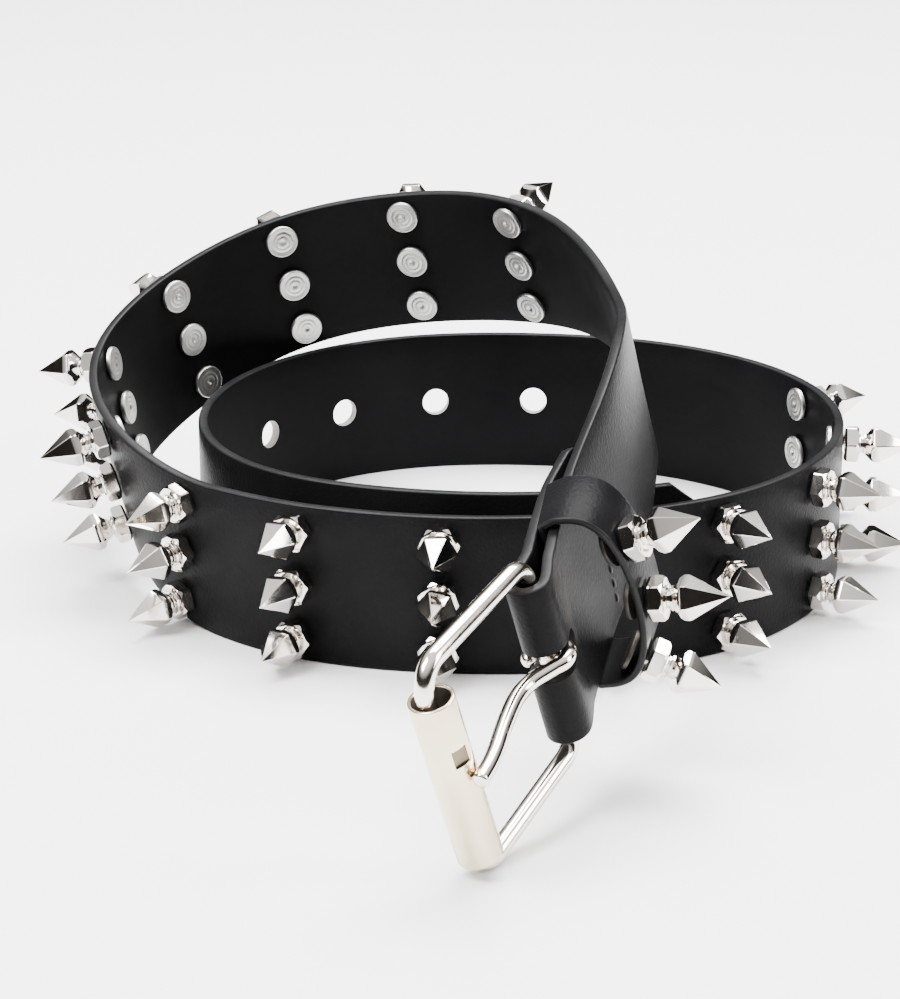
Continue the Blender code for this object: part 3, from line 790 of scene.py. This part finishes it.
def make_keeper():
    profile = rounded_box(KEEPER_WIDTH / 2, KEEPER_THICKNESS / 2)
    reads = {}
    for along, _ in profile:
        point, _, up, out, bow = COURSE.read(KEEPER_POSITION + along)
        reads[along] = (point, up, out, keeper_line(bow, KEEPER_STEPS))
    count = len(reads[profile[0][0]][3])
    rings = []
    for i in range(count):
        ring = []
        for along, depth in profile:
            point, up, out, line = reads[along]
            before = (line[i] - line[i - 1]).normalized()
            after = (line[(i + 1) % count] - line[i]).normalized()
            mitre = (before + after) / (1 + before.dot(after)) * depth
            spot = line[i] + Vector((mitre.y, -mitre.x))
            ring.append(point + up * spot.x + out * spot.y + SHIFT)
        rings.append(ring)
    bm = bmesh.new()
    loft(bm, rings, closed=True)
    for number, face in enumerate(bm.faces):
        k = number % len(profile)
        face.material_index = 0 if k == 3 else 1 if k == 11 else 2
    made = add_object("keeper_leather", bm, (OUTER, INNER, EDGE))
    place(made, "belt", "keeper", "black_leather")


# The studs


def hex_ring(radius, height, round_off):
    """Twelve points on a hexagon with its corners cut back by a share of its side."""
    corners = [Vector((cos(pi * i / 3), sin(pi * i / 3), 0)) * radius for i in range(-1, 7)]
    ring = []
    for i in range(1, 7):
        for other in (corners[i - 1], corners[i + 1]):
            spot = corners[i].lerp(other, round_off)
            ring.append(Vector((spot.x, spot.y, height)))
    return ring


def round_ring(radius, height, sides=12):
    turns = [2 * pi / sides * (i - 0.5) for i in range(sides)]
    return [Vector((radius * cos(turn), radius * sin(turn), height)) for turn in turns]


def stud_front():
    """The nut, the grooved neck and the pointed head, with their edges slightly broken."""
    foot = FIT_GAP
    nut_top = foot + NUT_HEIGHT
    neck_top = nut_top + NECK_HEIGHT
    band_foot = neck_top + HEAD_UNDERSIDE_HEIGHT
    band_top = band_foot + HEAD_BAND_HEIGHT
    tip = band_top + POINT_HEIGHT
    nut = NUT_ACROSS_CORNERS / 2
    head = HEAD_ACROSS_CORNERS / 2
    neck = NECK_DIAMETER / 2
    ease = 0.00022
    bm = bmesh.new()
    loft(bm, [
        round_ring(nut * 0.72, foot),
        hex_ring(nut * 0.93, foot, 0.10),
        hex_ring(nut, foot + 0.0006, 0.045),
        hex_ring(nut, nut_top - 0.0008, 0.045),
        round_ring(nut * 0.90, nut_top - 0.0002),
        round_ring(nut * 0.80, nut_top),
        round_ring(neck * 1.32, nut_top),
        round_ring(neck * 1.25, nut_top + 0.0003),
        round_ring(neck * 0.98, nut_top + 0.0005),
        round_ring(neck * 0.98, nut_top + 0.0010),
        round_ring(neck * 1.22, nut_top + 0.0012),
        round_ring(neck * 1.22, neck_top - 0.0003),
        round_ring(neck * 1.34, neck_top),
        round_ring(head * 0.80, band_foot - 0.0004),
        round_ring(head * 0.88, band_foot),
        hex_ring(head * 0.99, band_foot + 0.0006, 0.04),
        hex_ring(head, band_foot + 0.0008, 0.03),
        hex_ring(head, band_top - ease, 0.03),
        hex_ring(head * 0.975, band_top + ease, 0.035),
        hex_ring(head * 0.10, tip - POINT_HEIGHT * 0.085, 0.10),
        round_ring(head * 0.035, tip - POINT_HEIGHT * 0.012),
    ])
    return bm


def stud_back(wall):
    """The screw's round back: a rim, two turned rings and a dimple, as shares of the radius and heights."""
    face = -wall - BACK_THICKNESS
    radius = BACK_DIAMETER / 2
    turned = (
        (0.30, BACK_THICKNESS), (1.00, BACK_THICKNESS), (1.00, 0.00035), (0.965, 0.00010),
        (0.93, 0.00001), (0.88, 0.00005), (0.80, 0.00009), (0.70, 0.00008), (0.67, 0.00013),
        (0.64, 0.00007), (0.45, 0.00004), (0.42, 0.00009), (0.39, 0.00003), (0.20, 0.00003),
        (0.13, 0.00010), (0.07, 0.00028), (0.02, 0.00034),
    )
    bm = bmesh.new()
    loft(bm, [round_ring(radius * share, face + height, BACK_SIDES) for share, height in turned])
    return bm


def stud_meshes(wall, back_finish):
    """A front and a back mesh that every stud of the strap, or of the keeper, shares."""
    front = make_mesh(f"stud_front_{CHROME.name}", stud_front(), (CHROME,), sharp=24)
    back = make_mesh(f"stud_back_{back_finish.name}", stud_back(wall), (back_finish,), sharp=50)
    return front, back


def stud_place(node):
    """A stud's frame, from its CAD node: z up its axis, x to a corner, the origin at the leather's face."""
    source = NODES[node]
    points = {tuple(round(c, 6) for c in source.matrix_world @ v.co) for v in source.data.vertices}
    points = [Vector(p) for p in sorted(points)]
    middle = sum(points, Vector()) / len(points)
    tip = max(points, key=lambda p: (p - middle).length)
    reach = max((p - tip).length for p in points)
    rim = [p for p in points if (p - tip).length > reach - ROUND_OFF]
    base = sum(rim, Vector()) / len(rim)
    axis = (tip - base).normalized()
    nut_and_neck = FIT_GAP + NUT_HEIGHT + NECK_HEIGHT
    foot = tip - axis * (nut_and_neck + HEAD_UNDERSIDE_HEIGHT + HEAD_BAND_HEIGHT + POINT_HEIGHT)
    spokes = [(p - foot) - axis * (p - foot).dot(axis) for p in points]
    x = max(spokes, key=lambda spoke: spoke.length).normalized()
    frame_here = Matrix((x, axis.cross(x), axis)).transposed().to_4x4()
    frame_here.translation = foot
    return frame_here, (foot - base).length - BACK_THICKNESS


def make_studs():
    shared = {}
    for number, node in enumerate(sorted(n for n in NODES if "stud_" in n)):
        spot, wall = stud_place(node)
        # The keeper's screw backs, inside the keeper, get the dark painted shade.
        back_finish = PAINTED_SHADE_METAL if node.startswith("keeper") else BACK
        key = (round(wall, 5), back_finish.name)
        if key not in shared:
            shared[key] = stud_meshes(wall, back_finish)
        turn = Matrix.Rotation(radians(STUD_TURN * noise.noise((number * 3.7, 0.5, 0.5))), 4, "Z")
        front = new_object(f"{node}_front", shared[key][0])
        back = new_object(f"{node}_back", shared[key][1])
        for made in (front, back):
            made.matrix_world = spot @ turn
            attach(made, "belt")
        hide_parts(node)


# The buckle


def buckle_matrix():
    """Axes for the buckle, from the coil's own centre: x to the roller, y down the bar, z out."""
    matrix = Matrix((BAR.toward, -BAR.up, BAR.up.cross(BAR.toward))).transposed().to_4x4()
    matrix.translation = BAR.centre
    return matrix


def smooth_path(points, rounds):
    """The points with their corners cut in rounds, so that a bent wire reads as round."""
    for _ in range(rounds):
        finer = [points[0]]
        for a, b in zip(points, points[1:]):
            finer += [a.lerp(b, 0.25), a.lerp(b, 0.75)]
        points = finer + [points[-1]]
    return points


def wire_rings(points, radii, sides, normal, closed=False):
    """Rings round the points of a wire that lies in the plane with this normal."""
    rings = []
    count = len(points)
    for i, p in enumerate(points):
        before = points[i - 1] if closed or i else points[0]
        after = points[(i + 1) % count] if closed or i < count - 1 else points[-1]
        side = (after - before).normalized().cross(normal).normalized()
        turns = [2 * pi * k / sides for k in range(sides)]
        rings.append([p + (side * cos(turn) + normal * sin(turn)) * radii[i] for turn in turns])
    return rings


def make_buckle_frame(matrix):
    points = frame_outline(WIRE_CORNER_STEPS)
    bm = bmesh.new()
    radii = [WIRE_DIAMETER / 2] * len(points)
    rings = wire_rings(points, radii, WIRE_SIDES, Vector((0, 0, 1)), True)
    loft(bm, rings, closed=True)
    bm.transform(matrix)
    made = add_object("buckle_wire", bm, (WIRE,), sharp=60)
    place(made, "buckle_frame", "buckle_frame", "nickel_buckle")


def make_roller(matrix):
    """A rolled tube: soft rims, a hollow inside painted dark as shade, a shallow seam down its length and a
    notch whose floor is painted dark as shade.
    """
    half = ROLLER_LENGTH / 2
    outer = ROLLER_DIAMETER / 2
    inner = outer - ROLLER_WALL
    ease = ROLLER_WALL * 0.3
    seam = ROLLER_SIDES // 2 + 8
    outline = []
    for end, turn in ((-1, 1), (1, -1)):
        rim = [(outer, end * (half - ease)), (outer - ease * 0.3, end * (half - ease * 0.3)),
               (outer - ease, end * half), (inner + ease, end * half), (inner, end * (half - ease))]
        outline += rim if end > 0 else rim[::-1]
    rings = []
    for radius, y in outline:
        ring = []
        for i in range(ROLLER_SIDES):
            dip = SEAM_DEPTH if i == seam and radius > inner + ease else 0
            w = 2 * pi * i / ROLLER_SIDES
            ring.append(Vector(((radius - dip) * cos(w), y, (radius - dip) * sin(w))))
        rings.append(ring)
    bm = bmesh.new()
    loft(bm, rings, closed=True)
    cutter = bmesh.new()
    notch = Matrix.Rotation(radians(NOTCH_TURN), 4, "Y") @ Matrix.Translation((0, NOTCH_PLACE, outer))
    bmesh.ops.create_cube(cutter, size=1, matrix=notch @ Matrix.Diagonal((*NOTCH_SIZE, 1)))
    bm = subtract(bm, cutter)
    for face in bm.faces:
        middle = face.calc_center_median()
        deep = outer - hypot(middle.x, middle.z)
        # Faces deep in the roller's bore get the dark painted shade.
        face.material_index = 1 if deep > ROLLER_WALL * 0.97 else 0
        # The notch's floor and walls get the painted shade of the recess.
        if ROLLER_WALL * 0.2 < deep < ROLLER_WALL * 0.9 and abs(middle.y - NOTCH_PLACE) < NOTCH_SIZE[1]:
            face.material_index = 2
    bm.transform(matrix @ Matrix.Translation(Vector((ARM_LENGTH - ROLLER_OFFSET, ROLLER_SLIDE, 0))))
    made = add_object("roller_tube", bm, (TUBE, PAINTED_SHADE_METAL, NOTCH_SHADE), sharp=45)
    place(made, "roller", "roller", "nickel_buckle")


def make_prong(matrix):
    """A bent wire: an eye round the bar, a shank with two bends and a blunt tip."""
    eye = WIRE_DIAMETER / 2 + FIT_GAP + PRONG_DIAMETER / 2
    reach = ARM_LENGTH - ROLLER_OFFSET
    clear = ROLLER_DIAMETER / 2 + FIT_GAP + PRONG_DIAMETER / 2
    loop = [Vector((eye * cos(radians(w)), 0, eye * sin(radians(w)))) for w in range(-40, -311, -10)]
    shank = [Vector((reach * share, 0, clear * height)) for share, height in PRONG_BENDS]
    points = loop[:-1] + smooth_path([loop[-1], *shank], 3)
    radius = PRONG_DIAMETER / 2
    radii = [radius] * len(points)
    for back, share in ((1, 0.45), (2, 0.78), (3, 0.94)):
        radii[-back] = radius * share
        radii[back - 1] = radius * share
    bm = bmesh.new()
    loft(bm, wire_rings(points, radii, PRONG_SIDES, Vector((0, 1, 0))))
    bm.transform(matrix)
    made = add_object("prong_wire", bm, (WIRE,), sharp=60)
    place(made, "prong", "prong", "nickel_buckle")


# Floor, light and camera


def find_shift():
    """How far the CAD part was moved from the coil's own centre to stand in the middle of its box."""
    low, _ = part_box("buckle_frame")
    points = frame_outline(CAD_CORNER_STEPS)
    radii = [WIRE_DIAMETER / 2] * len(points)
    rings = wire_rings(points, radii, CAD_WIRE_SIDES, Vector((0, 0, 1)), True)
    matrix = buckle_matrix()
    placed = [matrix @ p for ring in rings for p in ring]
    own = Vector([min(p[i] for p in placed) for i in range(3)])
    return low - own


def make_floor():
    m = Material("studio_floor")
    m.feed("Base Color", m.ramp(m.noise(3, 2), ((0.3, (0.93, 0.93, 0.94)), (0.8, (0.95, 0.95, 0.95)))))
    m.set(roughness=0.75)
    bm = bmesh.new()
    bmesh.ops.create_grid(bm, x_segments=4, y_segments=4, size=4)
    floor = add_object("floor", bm, (m.made,))


def area_light(name, place_at, size, power, aim=(0, 0, 0.04)):
    light = bpy.data.lights.new(name, "AREA")
    light.shape = "RECTANGLE"
    light.size, light.size_y = size
    light.energy = power
    made = new_object(name, light)
    made.location = place_at
    made.rotation_euler = (Vector(aim) - Vector(place_at)).to_track_quat("-Z", "Y").to_euler()


def make_lights():
    """Softboxes above and at the sides, in a room that is dark at the height of the belt."""
    world = bpy.data.worlds.new("studio")
    bpy.context.scene.world = world
    world.use_nodes = True
    tree = world.node_tree
    split = tree.nodes.new("ShaderNodeSeparateXYZ")
    ramp = tree.nodes.new("ShaderNodeValToRGB")
    ramp.color_ramp.elements[0].position = 0.35
    ramp.color_ramp.elements[0].color = (0.015, 0.014, 0.013, 1)
    ramp.color_ramp.elements[1].position = 0.80
    ramp.color_ramp.elements[1].color = (1.0, 1.0, 1.0, 1)
    tree.links.new(tree.nodes.new("ShaderNodeTexCoord").outputs["Generated"], split.inputs[0])
    tree.links.new(split.outputs["Z"], ramp.inputs["Fac"])
    tree.links.new(ramp.outputs["Color"], tree.nodes["Background"].inputs["Color"])
    tree.nodes["Background"].inputs["Strength"].default_value = 1.6
    area_light("key", (-0.8, -0.5, 1.3), (0.8, 0.8), 60)
    area_light("top", (0.2, 0.6, 1.6), (1.4, 1.0), 115)
    area_light("right", (1.3, -0.3, 0.7), (0.4, 0.9), 20)


def make_camera():
    turn = radians(CAMERA_ELEVATION)
    aim = Vector((0, 0, CAMERA_AIM_HEIGHT)) + SHIFT
    camera = bpy.data.cameras.new("camera")
    camera.lens = CAMERA_LENS
    camera.sensor_width = CAMERA_SENSOR
    made = new_object("camera", camera)
    made.location = aim + Vector((0, -cos(turn), sin(turn))) * CAMERA_DISTANCE
    made.rotation_euler = (pi / 2 - turn, 0, 0)
    bpy.context.scene.camera = made


SHIFT = find_shift()
make_strap()
make_stitches()
make_keeper()
make_studs()
BUCKLE = buckle_matrix()
BUCKLE.translation += SHIFT
make_buckle_frame(BUCKLE)
make_roller(BUCKLE)
make_prong(BUCKLE)
make_floor()
make_lights()
make_camera()
